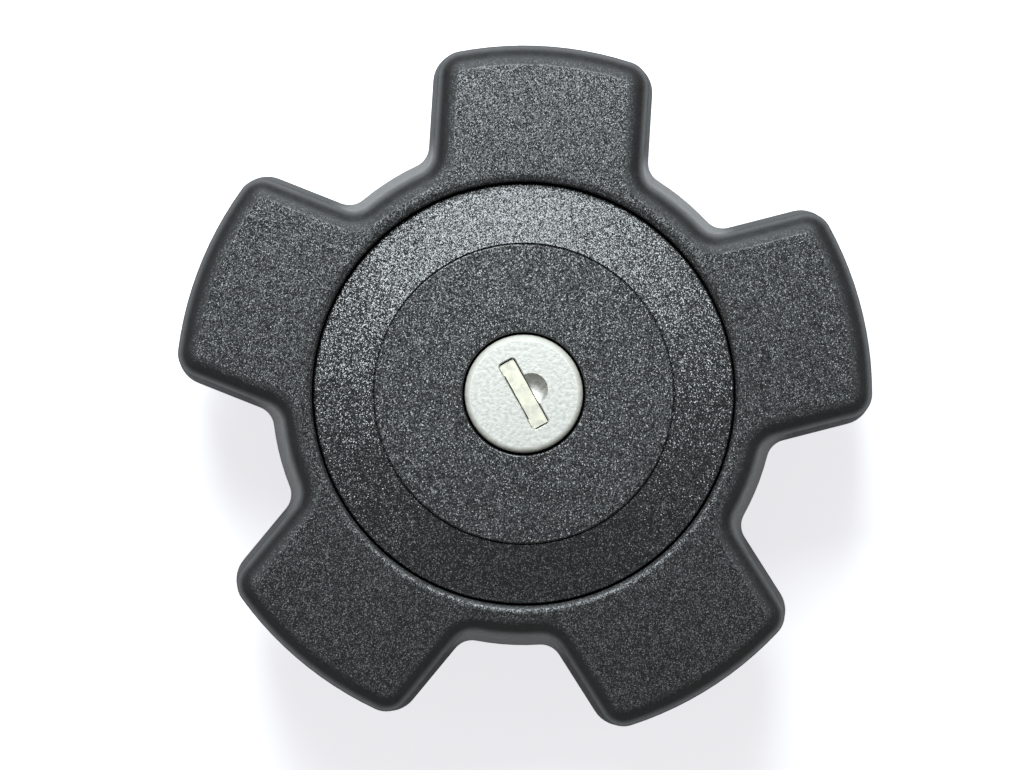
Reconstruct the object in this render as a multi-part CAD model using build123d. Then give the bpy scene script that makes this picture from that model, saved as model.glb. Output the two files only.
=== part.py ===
from build123d import *
import math
import os

# Locking fuel filler cap: a five-lobed hand grip that runs free round a fixed centre until the key
# drives two bolts into it. Millimetres. The origin lies on the cap's axis in the plane where the neck's
# rim meets the gasket. +Z points out of the neck, towards the hand.

# ---- Hand grip ----
GRIP_TOP = 20.0
GRIP_RIM = -4.0
GRIP_WALL = 2.4
GRIP_ROOF = 2.6
LOBE_COUNT = 5
LOBE_PITCH = 360 / LOBE_COUNT
FIRST_LOBE = 14.4
LOBE_TIP_R = 51.25
LOBE_HALF_W = 16.2
LOBE_CORNER_R = 4.6
LOBE_DRAFT = 2.5
LOBE_RIB = 2.0
DRUM_R = 37.1
DRUM_DRAFT = 5.0
CREASE_R = 3.2
SHOULDER_R = 3.0
HOLE_R = 30.6
HOLE_EDGE_R = 0.45
HUB_R = 32.4
HUB_STEP_Z = 10.5
HUB_WALL = 2.6
KEY_HALF_W = 2.5
KEY_DEPTH = 1.3

# ---- Coupling between grip and closure ----
RING_BOTTOM = 7.4
RING_TOP = 10.4
RING_R = 32.3
RING_BORE = 24.7
NOTCH_COUNT = 12
NOTCH_R = 28.4
NOTCH_W = 6.6
SNAP_BOTTOM = 6.2
SNAP_GROOVE_R = 33.4
BOLT_W = 6.0
BOLT_BOTTOM = 7.5
BOLT_TOP = 10.3
BOLT_INNER = 10.8
BOLT_TIP = 24.4
BOLT_TRAVEL = 3.2
KEY_TURN = 90.0
PEG_R = 1.2
PEG_ORBIT = 12.6
CAM_R = 18.4
CAM_BOTTOM = 5.3
CAM_TOP = 7.3
CAM_HUB_R = 6.2
CAM_SCREW_R = 3.2
CAM_SCREW_BOTTOM = 3.7

# ---- Closure that enters the filler neck ----
FOOT_Z = -22.0
SPIGOT_R = 19.6
NOSE_R = 19.2
NOSE_TOP = -12.4
SPIGOT_BORE = 15.4
SEAT_STEP_Z = -15.2
SEAT_BORE = 16.6
FLANGE_BOTTOM = 2.5
FLANGE_TOP = 5.0
FLANGE_R = 31.8
LEDGE_TOP = 7.3
LEDGE_R = 27.6
GUIDE_R = 24.64
GUIDE_BORE = 22.0
GUIDE_TOP = 10.5
LUG_R = 22.8
LUG_BOTTOM = -12.0
LUG_TOP = -8.4
LUG_RISE = 1.5
LUG_SPAN = 56.0
STOP_TOP = -2.6
STOP_SPAN = 6.0
GASKET_R = 27.0
RETAINER_DEPTH = 1.5
RETAINER_W = 1.4
CHEEK_W = 2.4
BOSS_ORBIT = 19.4
BOSS_R = 2.9
SCREW_ORBIT = 20.2
SCREW_R = 1.5
VENT_ORBIT = 12.0
VENT_R = 1.0
SPRING_SPIGOT_R = 4.9

# ---- Fixed centre over the mechanism ----
CARRIER_TOP = 12.5
CARRIER_R = 29.6
CARRIER_RIM_R = 28.3
CARRIER_RIM_BORE = 26.3
TOWER_R = 12.2
TOWER_BORE = 10.15
POST_TOP = 17.3
RIB_TOP = 16.5
RIB_W = 1.6
SNAP_BEAD_R = 28.7
SNAP_BEAD_Z = 14.8
COVER_R = 30.25
COVER_SKIRT_Z = 13.2
COVER_SKIRT_BORE = 28.4
SHELF_BOTTOM = 17.4
SHELF_BORE = 12.6
COVER_EDGE_Z = 18.6
DISC_R = 21.6
DISC_TOP = 20.6
DISC_BOTTOM = 18.95
DISC_HOLE_R = 8.88
CONE_INNER_Z = 20.3

# ---- Lock ----
SLOT_ANGLE = -61.0
SLOT_L = 10.7
SLOT_W = 2.5
SLOT_CORNER_R = 0.5
SLOT_BEVEL = 0.15
FACE_R = 8.5
FACE_RIM_R = 0.8
FACE_TOP = 20.9
FACE_T = 0.4
HEAD_R = 7.9
HEAD_BOTTOM = 18.8
BARREL_R = 6.5
BARREL_BOTTOM = 7.75
TAIL_W = 5.0
HOUSING_R = 8.4
HOUSING_TOP = 18.7
COLLAR_R = 10.0
COLLAR_TOP = 14.0
CLIP_GROOVE_Z = 9.55
CLIP_GROOVE_DEPTH = 0.6
WAFER_COUNT = 5
WAFER_PITCH = 1.7
WAFER_T = 0.9
FIRST_WAFER_Z = 8.6
DIMPLE_R = 2.4
DIMPLE_DEPTH = 0.9
DIMPLE_V = SLOT_W / 2
DIMPLE_SPHERE_R = (DIMPLE_R ** 2 + DIMPLE_DEPTH ** 2) / (2 * DIMPLE_DEPTH)
DIMPLE_CENTRE_Z = FACE_TOP + DIMPLE_SPHERE_R - DIMPLE_DEPTH
FLAP_PIN_V = -1.8
FLAP_PIN_Z = 19.7
FLAP_PIN_R = 0.34
FLAP_BOTTOM = FLAP_PIN_Z + 0.15
FLAP_TOP = FLAP_PIN_Z + 0.65
FLAP_HALF_L = 5.15
FLAP_HALF_W = 1.1
KNUCKLE_R = 0.75
KNUCKLE_W = 1.5
KNUCKLE_U = 4.3

# ---- Tank valves inside the spigot ----
PLATE_BOTTOM = -18.2
PLATE_TOP = -16.0
CIRCLIP_R = 17.2
CIRCLIP_BOTTOM = -19.4
PORT_R = 5.0
PAD_BOTTOM = -15.2
PAD_TOP = -14.0
DISC_VALVE_R = 7.6
DISC_VALVE_TOP = -12.8
STEM_R = 0.95
STEM_TOP = -6.4
POPPET_R = 4.2
FEED_ORBIT = 3.0
FEED_R = 0.75


def turned(*corners):
    """A solid of revolution about Z from its (radius, height) corners."""
    outline = Polyline([(radius, 0, height) for radius, height in corners], close=True)
    return revolve(make_face(outline), Axis.Z)


def ring(outer_r, inner_r, bottom, top):
    """A plain ring or, with no inner radius, a plain disc."""
    return turned((inner_r, bottom), (outer_r, bottom), (outer_r, top), (inner_r, top))


def bar(x_range, y_range, z_range):
    """A block between two limits on each axis."""
    size = [high - low for low, high in (x_range, y_range, z_range)]
    low = [limits[0] for limits in (x_range, y_range, z_range)]
    return Pos(*low) * Box(*size, align=Align.MIN)


def turn(angle):
    """A turn about the cap's axis, in degrees."""
    return Rot(0, 0, angle)


def spaced(count, shape, first=0.0):
    """Copies of a shape, evenly spaced about the cap's axis."""
    return [turn(first + k * 360 / count) * shape for k in range(count)]


def sector(outer_r, span, bottom, top):
    """A wedge of a disc, centred on +X, spanning an angle of less than 180 degrees."""
    reach = outer_r / math.cos(math.radians(span / 2))
    half = math.radians(span / 2)
    wedge = make_face(Polyline(
        (0, 0), (reach * math.cos(half), -reach * math.sin(half)),
        (reach * math.cos(half), reach * math.sin(half)), close=True))
    return Pos(0, 0, bottom) * extrude(wedge, amount=top - bottom)


def coil(mean_r, wire_r, bottom, top, turns):
    """A helical spring whose wire just meets the two planes it works between."""
    height = top - bottom - 2 * wire_r
    path = Pos(0, 0, bottom + wire_r) * Helix(pitch=height / turns, height=height, radius=mean_r)
    section = Plane(origin=path @ 0, z_dir=path % 0) * RegularPolygon(wire_r, 6)
    return sweep(section, path=path, is_frenet=True)


def snap_ring(outer_r, inner_r, bottom, top, gap):
    """An open ring of spring steel, with its gap in degrees on +X."""
    return ring(outer_r, inner_r, bottom, top) - sector(outer_r + 1, gap, bottom, top)


def round_hole(orbit, radius, bottom, top):
    """A round bar to cut with, upright on +X."""
    return Pos(orbit, 0, bottom) * extrude(Circle(radius), amount=top - bottom)


def top_circle(shape, radius, height):
    """The round edges of one radius at one height, ready for rounding."""
    circles = shape.edges().filter_by(GeomType.CIRCLE)
    return [e for e in circles if abs(e.radius - radius) < 0.01 and abs((e @ 0).Z - height) < 0.01]


# ---- Grip group: turns freely about the centre ----

def lobe(tip_r, half_w, corner_r, height):
    """One parallel-sided lobe, drafted from the rim up, pointing along +X."""
    strip = Pos(tip_r, 0) * Rectangle(2 * tip_r, 2 * half_w)
    plan = strip & Circle(tip_r)
    plan = fillet(plan.vertices().sort_by(Axis.X)[-2:], corner_r)
    return Pos(0, 0, GRIP_RIM) * extrude(plan, amount=height, taper=LOBE_DRAFT)


def star_block():
    """Outside of the grip: a drafted drum with five lobes, creases and a soft top shoulder."""
    height = GRIP_TOP - GRIP_RIM
    star = Pos(0, 0, GRIP_RIM) * extrude(Circle(DRUM_R), amount=height, taper=DRUM_DRAFT)
    for arm in spaced(LOBE_COUNT, lobe(LOBE_TIP_R, LOBE_HALF_W, LOBE_CORNER_R, height), FIRST_LOBE):
        star += arm
    creases = [
        edge for edge in star.edges()
        if edge.length > height / 2 and math.hypot((edge @ 0.5).X, (edge @ 0.5).Y) < DRUM_R + 1
        and GRIP_RIM < (edge @ 0.5).Z < GRIP_TOP and (edge @ 0).Z != (edge @ 1).Z
    ]
    star = fillet(creases, CREASE_R)
    star = fillet(star.faces().sort_by(Axis.Z)[-1].outer_wire().edges(), SHOULDER_R)
    return star


def lobe_pocket():
    """The moulding core under one lobe, split by a stiffening rib."""
    height = GRIP_TOP - GRIP_ROOF - GRIP_RIM
    core = lobe(LOBE_TIP_R - GRIP_WALL, LOBE_HALF_W - GRIP_WALL, LOBE_CORNER_R - GRIP_WALL, height)
    core -= ring(HUB_R + HUB_WALL, 0, GRIP_RIM, GRIP_TOP)
    rib = bar((HUB_R, LOBE_TIP_R), (-LOBE_RIB / 2, LOBE_RIB / 2), (GRIP_RIM + 2, GRIP_TOP))
    return core - rib


def hand_grip():
    """Hollow five-lobed grip with a stepped hub, keyways for the coupling ring and a snap groove."""
    hub = ring(HUB_R, 0, GRIP_RIM, HUB_STEP_Z) + ring(HOLE_R, 0, HUB_STEP_Z, GRIP_TOP)
    hub += ring(SNAP_GROOVE_R, 0, SNAP_BOTTOM - 0.05, RING_BOTTOM)
    grip = star_block() - hub
    for pocket in spaced(LOBE_COUNT, lobe_pocket(), FIRST_LOBE):
        grip -= pocket
    keyway = bar((HUB_R - 1, HUB_R + KEY_DEPTH), (-KEY_HALF_W, KEY_HALF_W), (GRIP_RIM, HUB_STEP_Z))
    for cut in spaced(LOBE_COUNT, keyway, FIRST_LOBE + LOBE_PITCH / 2):
        grip -= cut
    return fillet(top_circle(grip, HOLE_R, GRIP_TOP), HOLE_EDGE_R)


def coupling_ring():
    """Notched ring keyed into the grip's hub: the bolts take hold of it in twelve places."""
    band = ring(RING_R, RING_BORE, RING_BOTTOM, RING_TOP)
    key = bar((RING_R - 1, HUB_R + KEY_DEPTH - 0.1), (-KEY_HALF_W + 0.1, KEY_HALF_W - 0.1),
              (RING_BOTTOM, RING_TOP))
    for part in spaced(LOBE_COUNT, key, FIRST_LOBE + LOBE_PITCH / 2):
        band += part
    notch = bar((RING_BORE - 2, NOTCH_R), (-NOTCH_W / 2, NOTCH_W / 2), (RING_BOTTOM, RING_TOP))
    for cut in spaced(NOTCH_COUNT, notch):
        band -= cut
    return band


def grip_snap_ring():
    """Spring-steel ring that holds the coupling ring up against the hub's step."""
    return snap_ring(SNAP_GROOVE_R - 0.1, HUB_R - 2.2, SNAP_BOTTOM, RING_BOTTOM - 0.02, 14)


# ---- Closure group: the fixed root, locked into the neck ----

def bayonet_lug():
    """One lug on +X: its upper face climbs along the arc to draw the gasket down, up to a stop."""
    arm = ring(LUG_R, SPIGOT_R - 1, LUG_BOTTOM, LUG_TOP) & sector(LUG_R + 1, LUG_SPAN, LUG_BOTTOM, LUG_TOP)
    climb = math.degrees(math.atan2(LUG_RISE, LUG_R * math.radians(LUG_SPAN)))
    above = Box(LUG_R, 3 * LUG_R, LUG_R, align=(Align.CENTER, Align.CENTER, Align.MIN))
    arm -= Pos(LUG_R, 0, LUG_TOP - LUG_RISE / 2) * Rot(climb, 0, 0) * above
    stop = ring(LUG_R, SPIGOT_R - 1, LUG_BOTTOM, STOP_TOP)
    stop &= sector(LUG_R + 1, STOP_SPAN, LUG_BOTTOM, STOP_TOP)
    return arm + turn((LUG_SPAN - STOP_SPAN) / 2) * stop


def closure_body():
    """Spigot, bayonet lugs, flange and bolt chamber in one moulding."""
    lip_r, lip_z = GASKET_R + 0.2, FLANGE_BOTTOM - RETAINER_DEPTH
    body = turned(
        (SEAT_BORE, FOOT_Z), (NOSE_R - 0.6, FOOT_Z), (NOSE_R, FOOT_Z + 0.6), (NOSE_R, NOSE_TOP),
        (SPIGOT_R, NOSE_TOP + 0.4), (SPIGOT_R, FLANGE_BOTTOM), (lip_r, FLANGE_BOTTOM), (lip_r, lip_z),
        (lip_r + RETAINER_W, lip_z), (lip_r + RETAINER_W, FLANGE_BOTTOM), (FLANGE_R, FLANGE_BOTTOM),
        (FLANGE_R, FLANGE_TOP),
        (LEDGE_R, FLANGE_TOP), (LEDGE_R, LEDGE_TOP), (GUIDE_R, LEDGE_TOP), (GUIDE_R, GUIDE_TOP),
        (GUIDE_BORE, GUIDE_TOP), (GUIDE_BORE, FLANGE_TOP), (0, FLANGE_TOP), (0, FLANGE_BOTTOM),
        (SPIGOT_BORE, FLANGE_BOTTOM), (SPIGOT_BORE, SEAT_STEP_Z), (SEAT_BORE, SEAT_STEP_Z))
    body -= ring(CIRCLIP_R + 0.1, SEAT_BORE - 1, CIRCLIP_BOTTOM - 0.05, PLATE_BOTTOM)
    body += ring(SPRING_SPIGOT_R, 0, FLANGE_BOTTOM - 2.1, FLANGE_BOTTOM)
    for lug in spaced(2, bayonet_lug(), 90):
        body += lug
    # Cheeks that guide each bolt, and the bosses that the carrier's screws bite into.
    inner, outer = CAM_R + 0.4, GUIDE_BORE + 1
    reach = BOLT_W / 2 + CHEEK_W
    cheeks = bar((inner, outer), (-reach, reach), (FLANGE_TOP, GUIDE_TOP))
    boss = round_hole(BOSS_ORBIT, BOSS_R, FLANGE_TOP, GUIDE_TOP) & ring(outer, inner, FLANGE_TOP, GUIDE_TOP)
    boss += bar((inner, outer), (0.3 - BOSS_R, BOSS_R - 0.3), (FLANGE_TOP, GUIDE_TOP))
    for solid in spaced(2, cheeks) + spaced(4, boss, 45):
        body += solid
    window = bar((CAM_R - 1, GUIDE_R + 1), (-BOLT_W / 2 - 0.08, BOLT_W / 2 + 0.08), (LEDGE_TOP, GUIDE_TOP))
    pilot = round_hole(SCREW_ORBIT, SCREW_R, FLANGE_TOP + 0.5, GUIDE_TOP)
    vent = round_hole(VENT_ORBIT, VENT_R, FLANGE_BOTTOM, FLANGE_TOP)
    for cut in spaced(2, window) + spaced(4, pilot, 45) + spaced(4, vent, 45):
        body -= cut
    return body - ring(CAM_SCREW_R + 0.4, 0, CAM_SCREW_BOTTOM - 0.3, FLANGE_TOP)


def neck_gasket():
    """Rubber washer that seals on the neck's rim, with a lip that hugs the spigot."""
    return turned(
        (SPIGOT_R + 0.05, 0.5), (SPIGOT_R + 0.9, 0.5), (SPIGOT_R + 1.4, 0), (GASKET_R - 0.6, 0),
        (GASKET_R, 0.6), (GASKET_R, FLANGE_BOTTOM), (SPIGOT_R + 0.05, FLANGE_BOTTOM))


def lock_carrier():
    """Moulded carrier over the bolt chamber: it traps the coupling ring and stands the lock upright."""
    carrier = ring(CARRIER_R, HOUSING_R + 0.1, GUIDE_TOP, CARRIER_TOP)
    carrier += ring(CARRIER_RIM_R, CARRIER_RIM_BORE, CARRIER_TOP, POST_TOP)
    root = CARRIER_RIM_R - 0.1
    carrier += turned(
        (root, SNAP_BEAD_Z - 0.6), (SNAP_BEAD_R, SNAP_BEAD_Z - 0.2), (SNAP_BEAD_R, SNAP_BEAD_Z + 0.2),
        (root, SNAP_BEAD_Z + 0.6))
    carrier += ring(TOWER_R, TOWER_BORE, CARRIER_TOP, POST_TOP)
    rib = bar((TOWER_R - 0.2, CARRIER_RIM_BORE + 0.2), (-RIB_W / 2, RIB_W / 2), (CARRIER_TOP, RIB_TOP))
    for solid in spaced(8, rib, 22.5):
        carrier += solid
    for hole in spaced(4, round_hole(SCREW_ORBIT, SCREW_R + 0.2, GUIDE_TOP, CARRIER_TOP), 45):
        carrier -= hole
    return carrier


def carrier_screws():
    """Four pan-head screws through the carrier into the closure."""
    shank = Cylinder(SCREW_R - 0.02, 6.7, align=(Align.CENTER, Align.CENTER, Align.MAX))
    head = Cylinder(2.7, 1.7, align=(Align.CENTER, Align.CENTER, Align.MIN))
    head = fillet(head.edges().sort_by(Axis.Z)[-1], 0.8)
    blade = bar((-1.6, 1.6), (-0.35, 0.35), (1.0, 2.0))
    screw = head + shank - blade - turn(90) * blade
    return spaced(4, Pos(SCREW_ORBIT, 0, CARRIER_TOP) * screw, 45)


def cover_cone():
    """Shallow conical ring with a skirt that snaps over the carrier and a shelf for the centre disc."""
    groove_r = SNAP_BEAD_R + 0.05
    cone = turned(
        (DISC_R + 0.2, CONE_INNER_Z), (DISC_R + 0.2, DISC_BOTTOM), (SHELF_BORE, DISC_BOTTOM),
        (SHELF_BORE, SHELF_BOTTOM), (COVER_SKIRT_BORE, SHELF_BOTTOM), (COVER_SKIRT_BORE, SNAP_BEAD_Z + 0.65),
        (groove_r, SNAP_BEAD_Z + 0.3), (groove_r, SNAP_BEAD_Z - 0.3), (COVER_SKIRT_BORE, SNAP_BEAD_Z - 0.65),
        (COVER_SKIRT_BORE, COVER_SKIRT_Z), (COVER_R, COVER_SKIRT_Z), (COVER_R, COVER_EDGE_Z))
    return fillet(top_circle(cone, COVER_R, COVER_EDGE_Z), 0.25)


def centre_disc():
    """Flat disc let into the cover, with the round opening for the lock."""
    disc = ring(DISC_R, DISC_HOLE_R, DISC_BOTTOM, DISC_TOP)
    disc = fillet(top_circle(disc, DISC_R, DISC_TOP), 0.25)
    return fillet(top_circle(disc, DISC_HOLE_R, DISC_TOP), 0.25)


def lock_housing():
    """Die-cast sleeve in which the plug turns, with a collar that seats on the carrier."""
    sleeve = turned(
        (BARREL_R + 0.05, BARREL_BOTTOM + 0.05), (HOUSING_R, BARREL_BOTTOM + 0.05), (HOUSING_R, CARRIER_TOP),
        (COLLAR_R, CARRIER_TOP), (COLLAR_R, COLLAR_TOP), (HOUSING_R, COLLAR_TOP), (HOUSING_R, HOUSING_TOP),
        (BARREL_R + 0.05, HOUSING_TOP))
    sleeve -= ring(HOUSING_R + 1, HOUSING_R - CLIP_GROOVE_DEPTH, CLIP_GROOVE_Z, GUIDE_TOP - 0.02)
    groove = bar((-7.4, 7.4), (-3.3, 3.3), (FIRST_WAFER_Z - 0.6, FIRST_WAFER_Z + WAFER_COUNT * WAFER_PITCH))
    return sleeve - turn(SLOT_ANGLE) * groove


def housing_clip():
    """Open clip that pulls the housing's collar down on the carrier."""
    return snap_ring(10.2, HOUSING_R - CLIP_GROOVE_DEPTH + 0.02, CLIP_GROOVE_Z + 0.05, GUIDE_TOP - 0.04, 70)


def housing_seal():
    """Rubber ring that keeps water out between the lock and the carrier."""
    cord_r = 0.8
    bead = Pos(HOUSING_R + cord_r + 0.02, 0, COLLAR_TOP + cord_r + 0.02) * Rot(90, 0, 0) * Circle(cord_r)
    return revolve(bead, Axis.Z)


# ---- Plug group: turns with the key ----

def along_slot(shape):
    """A shape drawn with the key slot along +X, turned to where the slot rests."""
    return turn(SLOT_ANGLE) * shape


def lock_plug():
    """Die-cast plug: broad head, keyway, wafer slots, flap pocket and a square tail for the cam."""
    plug = turned(
        (0, BARREL_BOTTOM), (BARREL_R, BARREL_BOTTOM), (BARREL_R, HEAD_BOTTOM), (HEAD_R - 0.4, HEAD_BOTTOM),
        (HEAD_R - 0.4, HEAD_BOTTOM + 0.6), (HEAD_R, HEAD_BOTTOM + 0.6), (HEAD_R, FACE_TOP - FACE_T),
        (0, FACE_TOP - FACE_T))
    plug += bar((-TAIL_W / 2, TAIL_W / 2), (-TAIL_W / 2, TAIL_W / 2), (CAM_BOTTOM, BARREL_BOTTOM))
    keyway = bar((-4.95, 4.95), (-SLOT_W / 2, SLOT_W / 2), (FIRST_WAFER_Z - 0.6, FACE_TOP))
    mouth = bar((-SLOT_L / 2, SLOT_L / 2), (-SLOT_W / 2, SLOT_W / 2), (16.4, FACE_TOP))
    flap_swing = bar((-SLOT_L / 2, SLOT_L / 2), (-1.95, 0), (16.4, FACE_TOP))
    knuckle_room = bar((-SLOT_L / 2, SLOT_L / 2), (-2.7, 0), (HEAD_BOTTOM, FACE_TOP))
    plug -= keyway + mouth + flap_swing + knuckle_room
    for k in range(WAFER_COUNT):
        level = FIRST_WAFER_Z + k * WAFER_PITCH
        plug -= bar((-BARREL_R, BARREL_R), (-3.1, 3.1), (level - 0.05, level + WAFER_T + 0.05))
    plug -= Pos(0, DIMPLE_V, DIMPLE_CENTRE_Z) * Sphere(DIMPLE_SPHERE_R + FACE_T + 0.05)
    pin_bore = Pos(0, FLAP_PIN_V, FLAP_PIN_Z) * Rot(0, 90, 0) * Cylinder(0.4, 2 * HEAD_R)
    plug -= pin_bore
    plug -= ring(1.25, 0, CAM_BOTTOM, BARREL_BOTTOM - 0.6)
    return along_slot(plug)


def lock_face():
    """Drawn stainless cap rolled over the plug's head, with the key slot and a thumb dimple.

    The dimple is a shallow bowl whose middle lies on the slot's long edge.
    """
    cup = turned(
        (0, FACE_TOP - FACE_T), (HEAD_R + 0.03, FACE_TOP - FACE_T), (HEAD_R + 0.03, HEAD_BOTTOM + 0.58),
        (HEAD_R - 0.37, HEAD_BOTTOM + 0.58), (HEAD_R - 0.37, HEAD_BOTTOM + 0.1), (FACE_R, HEAD_BOTTOM + 0.1),
        (FACE_R, FACE_TOP), (0, FACE_TOP))
    cup = fillet(top_circle(cup, FACE_R, FACE_TOP), FACE_RIM_R)
    bowl = Pos(0, DIMPLE_V, DIMPLE_CENTRE_Z) * Sphere(DIMPLE_SPHERE_R + FACE_T)
    cup += bowl & ring(FACE_R - 2, 0, HEAD_BOTTOM, FACE_TOP - FACE_T)
    cup -= Pos(0, DIMPLE_V, DIMPLE_CENTRE_Z) * Sphere(DIMPLE_SPHERE_R)
    slot = RectangleRounded(SLOT_L, SLOT_W, SLOT_CORNER_R)
    cup -= Pos(0, 0, HEAD_BOTTOM) * extrude(slot, amount=3)
    cup -= Pos(0, 0, FACE_TOP - SLOT_BEVEL) * extrude(slot, amount=SLOT_BEVEL, taper=-45)
    cup -= bar((-FACE_R, FACE_R), (-FACE_R, 0), (HEAD_BOTTOM + 0.6, FACE_TOP - FACE_T)) & ring(6, 0, 18, 20.5)
    return along_slot(cup)


def key_flap():
    """Spring-shut flap that closes the key slot, with a knuckle at each end of its long edge."""
    lid = bar((-FLAP_HALF_L, FLAP_HALF_L), (-FLAP_HALF_W, FLAP_HALF_W), (FLAP_BOTTOM, FLAP_TOP))
    knuckle = Pos(0, FLAP_PIN_V, FLAP_PIN_Z) * Rot(0, 90, 0) * Cylinder(KNUCKLE_R, KNUCKLE_W)
    arm = bar((-KNUCKLE_W / 2, KNUCKLE_W / 2), (FLAP_PIN_V, 0), (FLAP_BOTTOM, FLAP_TOP))
    bore = Pos(0, FLAP_PIN_V, FLAP_PIN_Z) * Rot(0, 90, 0) * Cylinder(FLAP_PIN_R + 0.04, 3 * FLAP_HALF_L)
    flap = lid
    for side in (-1, 1):
        flap += Pos(side * KNUCKLE_U, 0, 0) * (knuckle + arm)
    return along_slot(flap - bore)


def flap_pin():
    """Steel pin pressed through the plug's head."""
    return along_slot(Pos(0, FLAP_PIN_V, FLAP_PIN_Z) * Rot(0, 90, 0) * Cylinder(FLAP_PIN_R, 12.6))


def flap_spring():
    """Torsion coil on the pin that swings the flap shut."""
    turns = Pos(0, FLAP_PIN_V, FLAP_PIN_Z) * Rot(0, 90, 0) * coil(0.52, 0.12, -3.0, 3.0, 9)
    return along_slot(turns)


def wafer(index):
    """Brass wafer lying across the plug; each window sits a little differently to read the key."""
    level = FIRST_WAFER_Z + index * WAFER_PITCH
    cut = (0.0, 0.35, -0.35, 0.2, -0.2)[index]
    outline = Rectangle(13, 6.1) & Circle(BARREL_R - 0.03)
    window = Pos(cut, 0) * RectangleRounded(9.2, 3.0, 0.4)
    return along_slot(Pos(0, 0, level) * extrude(outline - window, amount=WAFER_T))


def spiral_slot():
    """One slot of the cam: its middle line moves outward evenly with the turn."""
    over = 4.0
    half_w = PEG_R + 0.05
    rate = BOLT_TRAVEL / KEY_TURN
    steps = [-over + k * (KEY_TURN + 2 * over) / 7 for k in range(8)]

    def point(angle, side):
        slant = math.atan(math.degrees(rate) / PEG_ORBIT)
        radius = PEG_ORBIT + rate * angle + side * half_w / math.cos(slant)
        return radius * math.cos(math.radians(angle)), radius * math.sin(math.radians(angle))

    inner = Spline([point(a, -1) for a in steps])
    outer = Spline([point(a, 1) for a in steps])
    slot = make_face([inner, outer, Line(inner @ 0, outer @ 0), Line(inner @ 1, outer @ 1)])
    ends = [Pos(*point(a, 0)) * Circle(half_w) for a in (steps[0], steps[-1])]
    return slot + ends[0] + ends[1]


def scroll_cam():
    """Disc on the plug's square tail; its two spiral slots push the bolts out evenly."""
    tail_hole = Rectangle(TAIL_W + 0.04, TAIL_W + 0.04).rotate(Axis.Z, SLOT_ANGLE)
    plan = Circle(CAM_R) - tail_hole
    for side in (0, 180):
        plan -= turn(side) * spiral_slot()
    hub = Circle(CAM_HUB_R) - tail_hole
    cam = Pos(0, 0, CAM_BOTTOM) * extrude(plan, amount=CAM_TOP - CAM_BOTTOM)
    return cam + Pos(0, 0, CAM_BOTTOM) * extrude(hub, amount=BARREL_BOTTOM - 0.05 - CAM_BOTTOM)


def cam_screw():
    """Countersunk-washer screw that keeps the cam on the tail."""
    return ring(CAM_SCREW_R, 0, CAM_SCREW_BOTTOM, CAM_BOTTOM) + ring(1.22, 0, CAM_BOTTOM, BARREL_BOTTOM - 0.7)


# ---- Bolts: driven out of the centre into the coupling ring ----

def coupling_bolt():
    """Flat bolt along +X with a tapered nose and a peg that rides in the cam's slot."""
    nose = 1.6
    half = BOLT_W / 2
    plan = make_face(Polyline(
        (BOLT_INNER, -half), (BOLT_TIP - nose, -half), (BOLT_TIP, -half + 0.6), (BOLT_TIP, half - 0.6),
        (BOLT_TIP - nose, half), (BOLT_INNER, half), close=True))
    bolt = Pos(0, 0, BOLT_BOTTOM) * extrude(plan, amount=BOLT_TOP - BOLT_BOTTOM)
    peg = Pos(PEG_ORBIT, 0, CAM_BOTTOM + 0.2) * extrude(Circle(PEG_R), amount=BOLT_BOTTOM - CAM_BOTTOM)
    return bolt + peg


# ---- Valves: let the tank breathe both ways ----

def valve_plate():
    """Seat plate in the spigot's end, with a raised lip round its port and fins that centre the valve."""
    plate = ring(SEAT_BORE - 0.1, PORT_R, PLATE_BOTTOM, PLATE_TOP)
    plate += ring(PORT_R + 0.9, PORT_R, PLATE_TOP, PAD_BOTTOM)
    fin = bar((DISC_VALVE_R + 0.2, DISC_VALVE_R + 2.6), (-0.7, 0.7), (PLATE_TOP, -11.5))
    for solid in spaced(4, fin, 45):
        plate += solid
    return plate


def plate_seal():
    """Flat rubber ring between the seat plate and the step in the spigot."""
    return ring(SEAT_BORE - 0.1, SPIGOT_BORE - 0.6, PLATE_TOP, SEAT_STEP_Z)


def plate_snap_ring():
    """Open steel ring that holds the seat plate in the spigot."""
    return snap_ring(CIRCLIP_R, 14.4, CIRCLIP_BOTTOM, PLATE_BOTTOM - 0.02, 16)


def pressure_valve():
    """Disc that lifts when the tank's pressure beats its spring; its holes feed the vacuum valve."""
    disc = turned(
        (STEM_R + 0.05, PAD_TOP), (DISC_VALVE_R, PAD_TOP), (DISC_VALVE_R, DISC_VALVE_TOP),
        (3.0, DISC_VALVE_TOP), (2.2, DISC_VALVE_TOP + 0.8), (STEM_R + 0.05, DISC_VALVE_TOP + 0.8))
    for hole in spaced(4, round_hole(FEED_ORBIT, FEED_R, PAD_TOP, DISC_VALVE_TOP + 1)):
        disc -= hole
    return disc


def pressure_pad():
    """Rubber facing of the pressure valve, which shuts on the seat's lip."""
    pad = ring(DISC_VALVE_R - 0.2, STEM_R + 0.3, PAD_BOTTOM, PAD_TOP)
    for hole in spaced(4, round_hole(FEED_ORBIT, FEED_R, PAD_BOTTOM, PAD_TOP)):
        pad -= hole
    return pad


def pressure_spring():
    """Coil between the valve and the closure's floor, in its rest length."""
    return coil(5.6, 0.45, DISC_VALVE_TOP, FLANGE_BOTTOM, 6)


def vacuum_valve():
    """Poppet under the pad: its stem runs up through the pressure valve."""
    return turned(
        (0, PAD_BOTTOM - 1.4), (POPPET_R - 0.6, PAD_BOTTOM - 1.4), (POPPET_R, PAD_BOTTOM - 0.8),
        (POPPET_R, PAD_BOTTOM),
        (STEM_R, PAD_BOTTOM), (STEM_R, STEM_TOP), (0, STEM_TOP))


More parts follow.
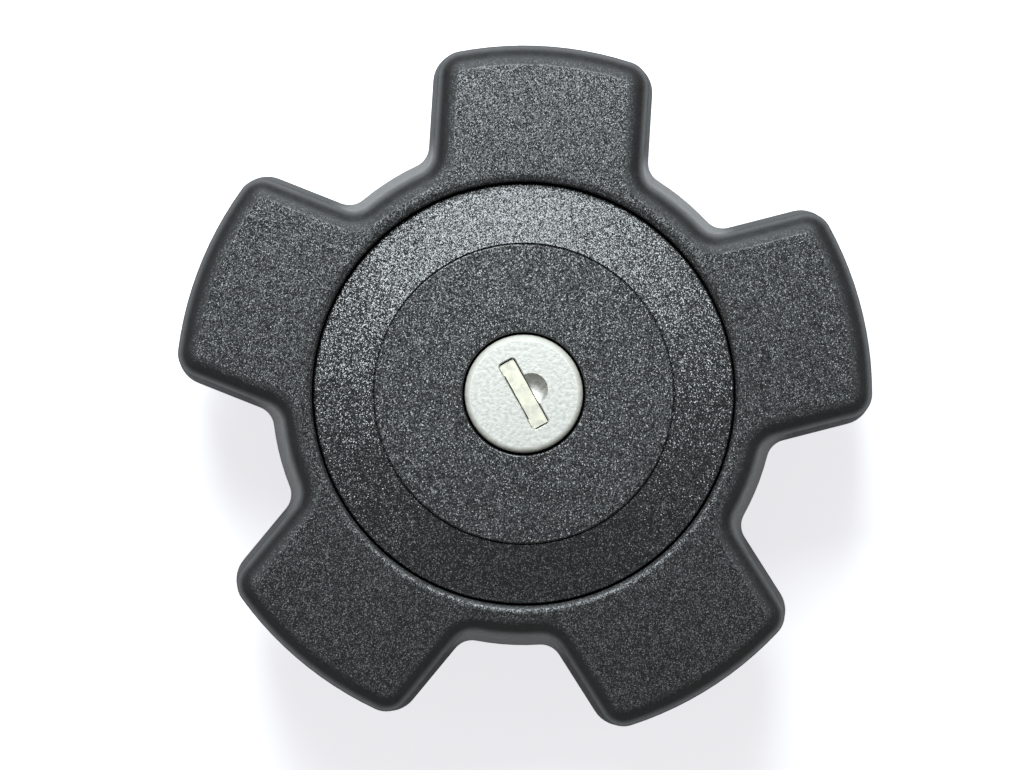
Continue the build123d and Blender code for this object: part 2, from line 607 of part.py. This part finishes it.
def stem_cap():
    """Push-on cap that holds the vacuum spring on the stem."""
    return turned((STEM_R, STEM_TOP - 1.0), (2.5, STEM_TOP - 1.0), (2.5, STEM_TOP - 0.5),
                  (1.7, STEM_TOP - 0.1), (STEM_R, STEM_TOP - 0.1))


def vacuum_spring():
    """Light coil that holds the poppet up against the pad."""
    return coil(1.75, 0.2, DISC_VALVE_TOP + 0.8, STEM_TOP - 1.0, 5)


NODES = {
    "hand_grip": hand_grip,
    "coupling_ring": coupling_ring,
    "grip_snap_ring": grip_snap_ring,
    "closure_body": closure_body,
    "neck_gasket": neck_gasket,
    "lock_carrier": lock_carrier,
    "carrier_screws": carrier_screws,
    "cover_cone": cover_cone,
    "centre_disc": centre_disc,
    "lock_housing": lock_housing,
    "housing_clip": housing_clip,
    "housing_seal": housing_seal,
    "lock_plug": lock_plug,
    "lock_face": lock_face,
    "key_flap": key_flap,
    "flap_pin": flap_pin,
    "flap_spring": flap_spring,
    "scroll_cam": scroll_cam,
    "cam_screw": cam_screw,
    "valve_plate": valve_plate,
    "plate_seal": plate_seal,
    "plate_snap_ring": plate_snap_ring,
    "pressure_valve": pressure_valve,
    "pressure_pad": pressure_pad,
    "pressure_spring": pressure_spring,
    "vacuum_valve": vacuum_valve,
    "stem_cap": stem_cap,
    "vacuum_spring": vacuum_spring,
}


def write(name, shape):
    """One file per piece; a list of like solids goes into one file."""
    solid = Compound(children=shape) if isinstance(shape, list) else shape
    export_step(solid, f"parts/{name}.step")


os.makedirs("parts", exist_ok=True)
for node, make in NODES.items():
    write(node, make())
for number in range(WAFER_COUNT):
    write(f"wafer_{number + 1}", wafer(number))
for name, angle in (("coupling_bolt_a", 0), ("coupling_bolt_b", 180)):
    write(name, turn(angle) * coupling_bolt())
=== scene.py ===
import math

import bpy
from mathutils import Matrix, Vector


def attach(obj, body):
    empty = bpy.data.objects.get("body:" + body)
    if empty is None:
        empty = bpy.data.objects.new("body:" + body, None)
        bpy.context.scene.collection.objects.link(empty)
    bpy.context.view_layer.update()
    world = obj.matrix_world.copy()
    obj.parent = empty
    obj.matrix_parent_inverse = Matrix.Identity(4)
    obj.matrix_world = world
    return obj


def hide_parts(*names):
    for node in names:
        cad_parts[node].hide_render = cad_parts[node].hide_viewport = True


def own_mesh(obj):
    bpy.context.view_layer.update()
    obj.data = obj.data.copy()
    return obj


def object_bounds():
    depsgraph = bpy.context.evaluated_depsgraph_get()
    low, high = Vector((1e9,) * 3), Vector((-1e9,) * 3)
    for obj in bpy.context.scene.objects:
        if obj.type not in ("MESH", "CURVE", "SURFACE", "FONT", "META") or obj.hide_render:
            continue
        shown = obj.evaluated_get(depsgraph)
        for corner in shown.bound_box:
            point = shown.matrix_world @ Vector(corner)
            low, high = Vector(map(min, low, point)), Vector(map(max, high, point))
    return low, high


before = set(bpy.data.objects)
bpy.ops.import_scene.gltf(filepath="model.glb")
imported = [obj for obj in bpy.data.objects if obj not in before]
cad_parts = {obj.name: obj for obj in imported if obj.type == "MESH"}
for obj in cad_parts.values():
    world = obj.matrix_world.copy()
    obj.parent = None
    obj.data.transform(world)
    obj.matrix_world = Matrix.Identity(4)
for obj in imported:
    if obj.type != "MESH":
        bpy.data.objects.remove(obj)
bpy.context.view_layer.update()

# ---------------------------------------------------------------------------------------------------
# Hand grip. One hollow moulding in black nylon with five blunt lobes. Its flats come out of a spark-
# eroded mould, covered in fine pits that lean and catch the light, and a few pits are painted paler as
# glints. The start of the shoulder was stoned to a fine matt, the lobes' flanks are matt, the walls
# between them smoother, and the hole's edge is worn round.
# ---------------------------------------------------------------------------------------------------
MM = 0.001
noise_range = (0.3, 0.7)
# The pale colour painted into a few pits as glints: painted highlights, not a colour of the nylon.
painted_glint_tint = (0.22, 0.222, 0.218)


def set_sockets(tree, node, values):
    """Sets a node's sockets to plain values, or links them to the outputs given."""
    for socket, value in values.items():
        if isinstance(value, bpy.types.NodeSocket):
            tree.links.new(value, node.inputs[socket])
        else:
            node.inputs[socket].default_value = value


def wire(tree, kind, inputs=None, out=0, **options):
    """Adds one shader node, sets its options, and sets or links each of its named inputs."""
    node = tree.nodes.new("ShaderNode" + kind)
    for option, value in options.items():
        setattr(node, option, value)
    set_sockets(tree, node, inputs or {})
    return node.outputs[out]


def new_finish(name):
    """An empty material with its node tree, its shader and the piece's own coordinates."""
    material = bpy.data.materials.new(name)
    material.use_nodes = True
    tree = material.node_tree
    place = wire(tree, "TexCoord", out="Object")
    return material, tree, tree.nodes["Principled BSDF"], place


def ramp(tree, value, low, high, at_low, at_high):
    """Eases from at_low to at_high while value goes from low to high."""
    return wire(tree, "MapRange", {"Value": value, "From Min": low, "From Max": high, "To Min": at_low,
                                   "To Max": at_high}, interpolation_type="SMOOTHSTEP")


def times(tree, a, b):
    return wire(tree, "Math", {0: a, 1: b}, operation="MULTIPLY")


def plus(tree, a, b):
    return wire(tree, "Math", {0: a, 1: b}, operation="ADD")


def larger(tree, a, b):
    return wire(tree, "Math", {0: a, 1: b}, operation="MAXIMUM")


def moved(tree, vector, by):
    return wire(tree, "VectorMath", {0: vector, 1: by}, operation="ADD")


def scaled(tree, vector, by):
    return wire(tree, "VectorMath", {0: vector, "Scale": by}, operation="SCALE")


def unit(tree, vector):
    return wire(tree, "VectorMath", {0: vector}, operation="NORMALIZE")


def off_axis(tree, place):
    """The vector straight out to this place from the cap's axis, and its length."""
    outward = wire(tree, "VectorMath", {0: place, 1: (1.0, 1.0, 0.0)}, operation="MULTIPLY")
    return outward, wire(tree, "VectorMath", {0: outward}, out="Value", operation="LENGTH")


def mottle(tree, place, size_mm, detail=2.0):
    """Soft uneven patches of about this size."""
    return wire(tree, "TexNoise", {"Vector": place, "Scale": 1.0 / (size_mm * MM), "Detail": detail})


def mixed(tree, factor, first, second):
    """A colour between two colours."""
    return wire(tree, "Mix", {"Factor": factor, "A": (*first, 1), "B": (*second, 1)}, out="Result",
                data_type="RGBA")


def dress(finish, *pieces):
    """Gives carried-over solids their finish in every material slot."""
    for piece in pieces:
        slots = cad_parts[piece].material_slots
        for slot in slots:
            slot.material = finish
        if not slots:
            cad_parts[piece].data.materials.append(finish)


def grip_wear(tree, place, face):
    """Where the grip's form changes its surface: the lip of its hole, its shoulder and its flanks.

    Up tells how far the face looks up, 1 on a flat and 0 on an upright wall, and reach is the
    distance from the axis. It gives the face as worn, the share of the grain that is left, and
    the two duller places, as what each adds to the roughness."""
    up = wire(tree, "SeparateXYZ", {"Vector": face}, out="Z")
    outward, reach = off_axis(tree, place)
    outward = unit(tree, outward)

    # The shoulder turns down a little faster at its start than an even round does.
    turning_up, shoulder_reach, faster = (0.75, 0.97), (31.5 * MM, 33.0 * MM), 0.7
    outside = ramp(tree, reach, *shoulder_reach, 0.0, faster)
    steep = plus(tree, times(tree, ramp(tree, up, *turning_up, 0.0, 1.0), outside), 1.0)
    steep = wire(tree, "CombineXYZ", {"X": steep, "Y": steep, "Z": 1.0})
    face = wire(tree, "VectorMath", {0: face, 1: steep}, operation="MULTIPLY")

    # The lip is worn round towards the hole.
    lip_reach, lip_lean = (30.95 * MM, 31.9 * MM), -0.27
    face = moved(tree, face, scaled(tree, outward, ramp(tree, reach, *lip_reach, lip_lean, 0.0)))

    # The grain is whole on the flats and on the lip, and fades down the walls.
    flat_up, lip_grain_reach, grain_on_walls = (0.90, 0.995), (31.6 * MM, 32.2 * MM), 0.12
    flat = ramp(tree, up, *flat_up, grain_on_walls, 1.0)
    grain_left = larger(tree, flat, ramp(tree, reach, *lip_grain_reach, 1.0, 0.0))

    # The start of the shoulder is stoned matt.
    edge_up, edge_dull = (0.992, 0.9997), 0.38
    fading_up, wall_share = (0.82, 0.985), 0.2
    stoned = times(tree, ramp(tree, up, *edge_up, edge_dull, 0.0),
                   ramp(tree, up, *fading_up, wall_share, 1.0))

    # The walls are matt on the lobes' flanks, and less so in the hollows between them.
    wall_up, lobe_reach = (0.12, 0.52), (36.5 * MM, 40.0 * MM)
    hollow_dull, lobe_dull = 0.08, 0.42
    flank = times(tree, ramp(tree, up, *wall_up, 1.0, 0.0),
                  ramp(tree, reach, *lobe_reach, hollow_dull, lobe_dull))
    return face, grain_left, (stoned, flank)


def spark_eroded(name, tint, pit_mm, slope, glint_paint, gloss, shine, wear=None):
    """Black nylon out of a spark-eroded mould: every pit is a small facet with a lean of its own,
    and a few pits are painted paler in the colour as glints.

    Slope is how steeply the pits lean, the glint paint how pale the painted glints are, gloss the
    roughness, shine the specular level, and wear the function for the worn places of the form."""
    shallow, steep = 0.55 * slope, 1.6 * slope
    patch_mm, patch_spread = 1.2, 0.03
    painted_glint_range = (0.8, 1.0)
    material, tree, shader, place = new_finish(name)
    pits = wire(tree, "TexVoronoi", {"Vector": place, "Scale": 1.0 / (pit_mm * MM)}, out="Color")
    lean = wire(tree, "SeparateColor", {"Color": pits}, out="Red")
    depth = wire(tree, "SeparateColor", {"Color": pits}, out="Blue")
    face = wire(tree, "NewGeometry", out="Normal")
    grained = ramp(tree, depth, 0.0, 1.0, shallow, steep)
    dull = ramp(tree, mottle(tree, place, patch_mm), *noise_range, gloss - patch_spread,
                gloss + patch_spread)
    # A few pits are painted paler as glints. These painted highlights fade with the grain where the form is
    # worn.
    painted_glints = ramp(tree, lean, *painted_glint_range, 0.0, glint_paint)
    if wear:
        face, grain_left, duller_places = wear(tree, place, face)
        grained = times(tree, grained, grain_left)
        painted_glints = times(tree, painted_glints, grain_left)
        for duller in duller_places:
            dull = plus(tree, dull, duller)
    tilt = wire(tree, "VectorMath", {0: pits, 1: (0.5, 0.5, 0.5)}, operation="SUBTRACT")
    facet = unit(tree, moved(tree, face, scaled(tree, tilt, grained)))
    set_sockets(tree, shader, {
        "Normal": facet,
        "Base Color": mixed(tree, painted_glints, tint, painted_glint_tint),
        "Roughness": dull,
        "Specular IOR Level": shine,
    })
    return material


grip_black = spark_eroded("grip_black", (0.0112, 0.0116, 0.0116), pit_mm=0.122, slope=0.375, glint_paint=0.82,
                          gloss=0.295, shine=0.83, wear=grip_wear)
dress(grip_black, "hand_grip")

# ---------------------------------------------------------------------------------------------------
# Coupling ring and its snap ring. The ring is a dark acetal moulding with a row of notches that the
# bolts enter, keyed into the grip from below, and a snap ring of spring steel keeps it there.
# ---------------------------------------------------------------------------------------------------


def smooth_plastic(name, tint, wave_mm, gloss):
    """Plastic from a plain mould: faintly uneven in colour, with the shallow waves of its flow."""
    darker, paler, gloss_spread = 0.82, 1.12, 0.06
    skin_mm, skin_depth_mm = 0.35, 0.004
    material, tree, shader, place = new_finish(name)
    flow = mottle(tree, place, wave_mm, detail=3.0)
    skin = mottle(tree, place, skin_mm)
    bump = wire(tree, "Bump", {"Height": skin, "Distance": skin_depth_mm * MM, "Strength": 0.6},
                out="Normal")
    set_sockets(tree, shader, {
        "Normal": bump,
        "Base Color": mixed(tree, flow, [c * darker for c in tint], [min(1.0, c * paler) for c in tint]),
        "Roughness": ramp(tree, flow, *noise_range, gloss - gloss_spread, gloss + gloss_spread),
    })
    return material


def bright_metal(name, tint, rough, mark_mm, mark_depth_mm, worn_tint=None, dull_past_mm=None):
    """Bare metal with fine marks: the tint, the roughness and the surface all follow them."""
    worn_share, rough_spread = 0.85, 0.05
    rim_mm, rim_dull = 0.3, 0.35
    worn_tint = worn_tint or [c * worn_share for c in tint]
    material, tree, shader, place = new_finish(name)
    marks = mottle(tree, place, mark_mm, detail=3.0)
    bump = wire(tree, "Bump", {"Height": marks, "Distance": mark_depth_mm * MM, "Strength": 1.0},
                out="Normal")
    dull = ramp(tree, marks, *noise_range, rough - rough_spread, rough + rough_spread)
    if dull_past_mm:
        _, reach = off_axis(tree, place)
        rim = ramp(tree, reach, dull_past_mm * MM, (dull_past_mm + rim_mm) * MM, 0.0, rim_dull)
        dull = plus(tree, dull, rim)
    set_sockets(tree, shader, {
        "Normal": bump,
        "Base Color": mixed(tree, marks, worn_tint, tint),
        "Roughness": dull,
        "Metallic": 1.0,
    })
    return material


dark_acetal = smooth_plastic("dark_acetal", (0.022, 0.0225, 0.023), wave_mm=6.0, gloss=0.36)
spring_steel = bright_metal("spring_steel", (0.56, 0.56, 0.57), rough=0.30, mark_mm=0.5,
                            mark_depth_mm=0.008)
dress(dark_acetal, "coupling_ring")
dress(spring_steel, "grip_snap_ring")

# ---------------------------------------------------------------------------------------------------
# Closure body and neck gasket. The body is glass-filled nylon: spigot, bayonet lugs, flange and bolt
# chamber in one. The gasket is a soft rubber washer stretched over the spigot against the flange.
# ---------------------------------------------------------------------------------------------------


def soft_rubber(name, tint):
    """Moulded rubber: matt, with a bloom of paler dust in its fine grain."""
    bloom_mm, bloom_range, dust = 3.0, (0.45, 0.75), 1.9
    grain_mm, grain_depth_mm = 0.12, 0.015
    handled_dull, dusty_dull = 0.55, 0.72
    material, tree, shader, place = new_finish(name)
    bloom = mottle(tree, place, bloom_mm, detail=4.0)
    grain = mottle(tree, place, grain_mm)
    bump = wire(tree, "Bump", {"Height": grain, "Distance": grain_depth_mm * MM, "Strength": 0.8},
                out="Normal")
    set_sockets(tree, shader, {
        "Normal": bump,
        "Base Color": mixed(tree, ramp(tree, bloom, *bloom_range, 0.0, 1.0), tint, [c * dust for c in tint]),
        "Roughness": ramp(tree, bloom, *noise_range, handled_dull, dusty_dull),
    })
    return material


filled_nylon = smooth_plastic("filled_nylon", (0.020, 0.0205, 0.021), wave_mm=9.0, gloss=0.42)
black_rubber = soft_rubber("black_rubber", (0.016, 0.016, 0.016))
dress(filled_nylon, "closure_body")
dress(black_rubber, "neck_gasket")

# ---------------------------------------------------------------------------------------------------
# Lock carrier and its screws. The carrier is a nylon moulding that bridges the bolt chamber, held by
# four zinc-plated screws driven down into the bosses of the body.
# ---------------------------------------------------------------------------------------------------
zinc_plate = bright_metal("zinc_plate", (0.60, 0.61, 0.62), rough=0.33, mark_mm=0.8, mark_depth_mm=0.006)
dress(filled_nylon, "lock_carrier")
dress(zinc_plate, "carrier_screws")

# ---------------------------------------------------------------------------------------------------
# Cover cone and centre disc. Two thin trim mouldings in the grip's black nylon: the cone snaps over
# the carrier by its skirt, and the disc is let into the cone. Both are grained all over, and the
# cone's mould was eroded a little harder than the disc's.
# ---------------------------------------------------------------------------------------------------
# Both also get a few pits painted paler as glints, painted highlights like the grip's.
cone_black = spark_eroded("cone_black", (0.0135, 0.0141, 0.0141), pit_mm=0.122, slope=0.63, glint_paint=0.95,
                          gloss=0.27, shine=1.0)
disc_black = spark_eroded("disc_black", (0.0120, 0.0126, 0.0126), pit_mm=0.125, slope=0.44, glint_paint=0.88,
                          gloss=0.275, shine=0.93)
dress(cone_black, "cover_cone")
dress(disc_black, "centre_disc")

# ---------------------------------------------------------------------------------------------------
# Lock housing, clip and seal. The housing is a zinc die-casting turned on its outside. It stands in
# the carrier on its collar, pulled down by an open spring-steel clip and sealed by a rubber ring.
# ---------------------------------------------------------------------------------------------------
cast_zinc = bright_metal("cast_zinc", (0.47, 0.48, 0.50), rough=0.44, mark_mm=0.4, mark_depth_mm=0.02)
dress(cast_zinc, "lock_housing")
dress(spring_steel, "housing_clip")
dress(black_rubber, "housing_seal")

# ---------------------------------------------------------------------------------------------------
# Lock plug and wafers. The plug is die-cast zinc, turned to run in the housing, and the five wafers
# are stamped from brass sheet and slide in slots across it.
# ---------------------------------------------------------------------------------------------------
wafer_brass = bright_metal("wafer_brass", (0.80, 0.60, 0.30), rough=0.34, mark_mm=0.5, mark_depth_mm=0.01)
dress(cast_zinc, "lock_plug")
dress(wafer_brass, *[f"wafer_{number}" for number in range(1, 6)])

# ---------------------------------------------------------------------------------------------------
# Lock face. A thin cap drawn from stainless sheet and rolled over the plug's head. It was blasted to
# an even satin before the key slot and the dimple were pressed, and handling has left its rim duller.
# ---------------------------------------------------------------------------------------------------
satin_steel = bright_metal("satin_steel", (0.88, 0.873, 0.81), rough=0.50, mark_mm=0.55,
                           mark_depth_mm=0.023, worn_tint=(0.704, 0.6984, 0.648), dull_past_mm=7.6)
dress(satin_steel, "lock_face")

# ---------------------------------------------------------------------------------------------------
# Key flap with its pin and spring. The flap is a strip of pale brass that fills the key slot from
# behind, hinged on a steel pin and shut by a small torsion spring.
# ---------------------------------------------------------------------------------------------------
pale_brass = bright_metal("pale_brass", (1.0, 0.97, 0.74), rough=0.48, mark_mm=1.1, mark_depth_mm=0.01,
                          worn_tint=(0.84, 0.82, 0.76))
dress(pale_brass, "key_flap")
dress(spring_steel, "flap_pin", "flap_spring")

# ---------------------------------------------------------------------------------------------------
# Scroll cam, its screw and the two coupling bolts. The cam is a zinc casting on the plug's square
# tail, whose spiral slots push the plated steel bolts out into the notches of the coupling ring.
# ---------------------------------------------------------------------------------------------------
dress(cast_zinc, "scroll_cam")
dress(zinc_plate, "cam_screw", "coupling_bolt_a", "coupling_bolt_b")

# ---------------------------------------------------------------------------------------------------
# Valves in the spigot. Seat plate, pressure disc and vacuum poppet are natural white acetal, their
# seal and pad rubber, the snap ring and the stem's push-on cap spring steel. The two valve springs
# are wound from round wire with a closed turn at each end.
# ---------------------------------------------------------------------------------------------------
white_acetal = smooth_plastic("white_acetal", (0.62, 0.61, 0.55), wave_mm=8.0, gloss=0.40)
dress(white_acetal, "valve_plate", "pressure_valve", "vacuum_valve")
dress(black_rubber, "plate_seal", "pressure_pad")
dress(spring_steel, "plate_snap_ring", "stem_cap")


def wound_spring(name, mean_r, wire_r, bottom, top, turns):
    """A compression spring of round wire, in mm, wound closed for one turn at each end."""
    steps_a_turn, sides = 40, 12
    closed_turn = 2.2 * wire_r
    climb = top - bottom - 2 * wire_r - 2 * closed_turn
    verts, faces = [], []
    steps = steps_a_turn * turns
    for step in range(steps + 1):
        turned = step / steps_a_turn
        height = closed_turn * (min(turned, 1.0) + max(turned - turns + 1, 0.0))
        height += climb * min(max(turned - 1, 0.0) / (turns - 2), 1.0)
        angle = 2 * math.pi * turned
        for side in range(sides):
            around = 2 * math.pi * side / sides
            r = mean_r + wire_r * math.cos(around)
            z = bottom + wire_r + height + wire_r * math.sin(around)
            verts.append((r * math.cos(angle) * MM, r * math.sin(angle) * MM, z * MM))
    for step in range(steps):
        for side in range(sides):
            a, b = step * sides + side, step * sides + (side + 1) % sides
            faces.append((a, a + sides, b + sides, b))
    faces.append(tuple(range(sides)))
    faces.append(tuple(steps * sides + side for side in reversed(range(sides))))
    mesh = bpy.data.meshes.new(name)
    mesh.from_pydata(verts, [], faces)
    mesh.polygons.foreach_set("use_smooth", [len(face) == 4 for face in faces])
    mesh.update()
    mesh.materials.append(spring_steel)
    spring = bpy.data.objects.new(name, mesh)
    bpy.context.scene.collection.objects.link(spring)
    return spring


# The heights of the springs' seats, in mm.
valve_top, body_floor, stem_hook, valve_collar = -12.8, 2.5, -7.4, -12.0
outer_coil = wound_spring("pressure_coil", mean_r=5.6, wire_r=0.45, bottom=valve_top, top=body_floor,
                          turns=7)
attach(outer_coil, "closure")
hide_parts("pressure_spring")
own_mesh(outer_coil)
inner_coil = wound_spring("vacuum_coil", mean_r=1.75, wire_r=0.2, bottom=valve_collar, top=stem_hook,
                          turns=6)
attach(inner_coil, "pressure_valve")
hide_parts("vacuum_spring")
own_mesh(inner_coil)

# ---------------------------------------------------------------------------------------------------
# Table. A plain white sheet under the cap. What is seen of it, straight or in a gloss, is lifted to
# white, and the cap's shadow stays on it.
# ---------------------------------------------------------------------------------------------------
table_size = 6.0
lifted = 0.76
share_in_a_gloss = 0.40

bpy.ops.mesh.primitive_plane_add(size=table_size, location=(0, 0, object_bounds()[0][2]))
table = bpy.context.object
table.name = "table"
table_white, tree, shader, _ = new_finish("table_white")
set_sockets(tree, shader, {"Base Color": (0.9, 0.9, 0.9, 1), "Roughness": 0.9})
glow = wire(tree, "Emission", {"Color": (0.97, 0.965, 1.0, 1), "Strength": lifted})
lit = wire(tree, "AddShader", {0: shader.outputs["BSDF"], 1: glow})
straight = wire(tree, "LightPath", out="Is Camera Ray")
glossy = wire(tree, "LightPath", out="Is Glossy Ray")
through = wire(tree, "LightPath", out="Is Transmission Ray")
seen = larger(tree, straight, times(tree, glossy, share_in_a_gloss))
seen = larger(tree, seen, through)
surface = wire(tree, "MixShader", {"Fac": seen, 1: shader.outputs["BSDF"], 2: lit})
tree.links.new(surface, tree.nodes["Material Output"].inputs["Surface"])
table.data.materials.append(table_white)

# ---------------------------------------------------------------------------------------------------
# Light. One soft square lamp, cool like a window, stands close behind and above the cap, and a dim
# even surround fills what it leaves dark.
# ---------------------------------------------------------------------------------------------------
surround = 0.13

scene = bpy.context.scene
scene.view_settings.view_transform = "Standard"
world = scene.world or bpy.data.worlds.new("world")
scene.world = world
world.use_nodes = True
backdrop = world.node_tree.nodes["Background"]
backdrop.inputs["Color"].default_value = (1, 1, 1, 1)
backdrop.inputs["Strength"].default_value = surround


def soft_lamp(name, place, size, power, tint):
    """A square lamp, in metres and watts, that faces the cap and isn't seen itself."""
    data = bpy.data.lights.new(name, "AREA")
    data.shape = "SQUARE"
    data.size = size
    data.energy = power
    data.color = tint
    lamp = bpy.data.objects.new(name, data)
    scene.collection.objects.link(lamp)
    lamp.location = place
    lamp.rotation_euler = (-Vector(place)).to_track_quat("-Z", "Y").to_euler()
    lamp.visible_camera = False


soft_lamp("window_lamp", place=(-0.022, 0.205, 0.275), size=0.20, power=1.65, tint=(0.88, 0.955, 1.0))

# ---------------------------------------------------------------------------------------------------
# Camera. It looks straight down from a metre over the grip's top face, a little off the cap's axis,
# so that the cap stands slightly right of the middle of the frame and below it.
# ---------------------------------------------------------------------------------------------------
picture_width = 1024
picture_centre = (512, 385)
cap_centre = (523.8, 393.8)
pixel = 0.144 * MM
camera_height = 1.0
top_face = 0.020

lens = bpy.data.cameras.new("camera")
lens.sensor_width = 36
lens.lens = lens.sensor_width * camera_height / (picture_width * pixel)
lens.clip_start = 0.01
camera = bpy.data.objects.new("camera", lens)
scene.collection.objects.link(camera)
camera.location = ((picture_centre[0] - cap_centre[0]) * pixel, (cap_centre[1] - picture_centre[1]) * pixel,
                   top_face + camera_height)
scene.camera = camera
